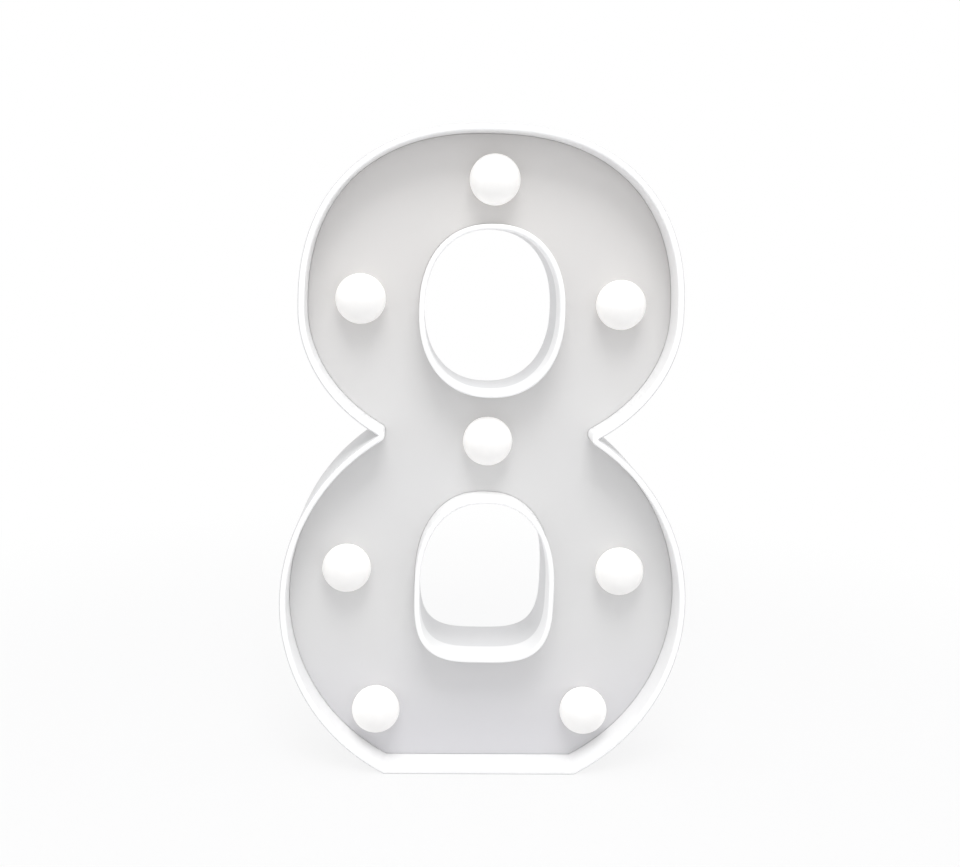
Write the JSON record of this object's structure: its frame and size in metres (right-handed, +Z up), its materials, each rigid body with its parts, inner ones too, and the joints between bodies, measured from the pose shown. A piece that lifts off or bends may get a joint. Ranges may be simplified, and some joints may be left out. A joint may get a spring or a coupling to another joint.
{
  "type": "light up marquee number",
  "caption": "Hollow plastic numeral eight with round bulb caps in its recessed face, back panel with battery bay, slide switch and keyholes; stands on its flat foot or hangs.",
  "frame": {"origin": "middle of the flat foot, halfway through the depth", "axes": "+Z up the numeral, -Y out of its lit face, +X to the right as seen from the front"},
  "size_m": [0.1382, 0.032, 0.22],
  "materials": {
    "white_plastic": "white injection-moulded plastic, satin",
    "frosted_bulb": "milky diffusing plastic",
    "clear_led": "clear epoxy with a warm tint",
    "nickel": "nickel-plated spring steel",
    "screw_steel": "zinc-plated steel",
    "cell_wrap": "plain dark sleeve on a steel can",
    "black_plastic": "fine-grained black plastic",
    "resistor_body": "lacquered body",
    "red_wire": "soft insulation",
    "black_wire": "soft insulation"
  },
  "bodies": {
    "number": {"front_shell": "white_plastic", "back_panel": "white_plastic", "aa_cell_1": "cell_wrap", "aa_cell_2": "cell_wrap", "bridge_contact": "nickel", "positive_contact": "nickel", "negative_contact": "nickel", "bridge_spring": "nickel", "negative_spring": "nickel", "bulb_top": "frosted_bulb", "bulb_upper_right": "frosted_bulb", "bulb_upper_left": "frosted_bulb", "bulb_waist": "frosted_bulb", "bulb_lower_right": "frosted_bulb", "bulb_lower_left": "frosted_bulb", "bulb_foot_right": "frosted_bulb", "bulb_foot_left": "frosted_bulb", "led_top": "clear_led", "led_upper_right": "clear_led", "led_upper_left": "clear_led", "led_waist": "clear_led", "led_lower_right": "clear_led", "led_lower_left": "clear_led", "led_foot_right": "clear_led", "led_foot_left": "clear_led", "string_wire_positive": "red_wire", "string_wire_negative": "black_wire", "battery_lead": "red_wire", "resistor": "resistor_body", "switch_body": "nickel", "screw_upper_high_right": "screw_steel", "screw_upper_high_left": "screw_steel", "screw_upper_low_right": "screw_steel", "screw_upper_low_left": "screw_steel", "screw_lower_high_right": "screw_steel", "screw_lower_high_left": "screw_steel", "screw_lower_low_right": "screw_steel", "screw_lower_low_left": "screw_steel"},
    "battery_door": {"battery_door": "white_plastic"},
    "switch_slider": {"switch_slider": "black_plastic"}
  },
  "joints": [
    {"name": "battery_door_tilt", "type": "hinge", "parent": "number", "child": "battery_door", "pos_m": [0, 0.016, 0.00573], "axis": [-1, 0, 0], "range_deg": [0, 40]},
    {"name": "switch_slide", "type": "slide", "parent": "number", "child": "switch_slider", "axis": [0, 0, 1], "range_m": [0, 0.0025]}
  ]
}
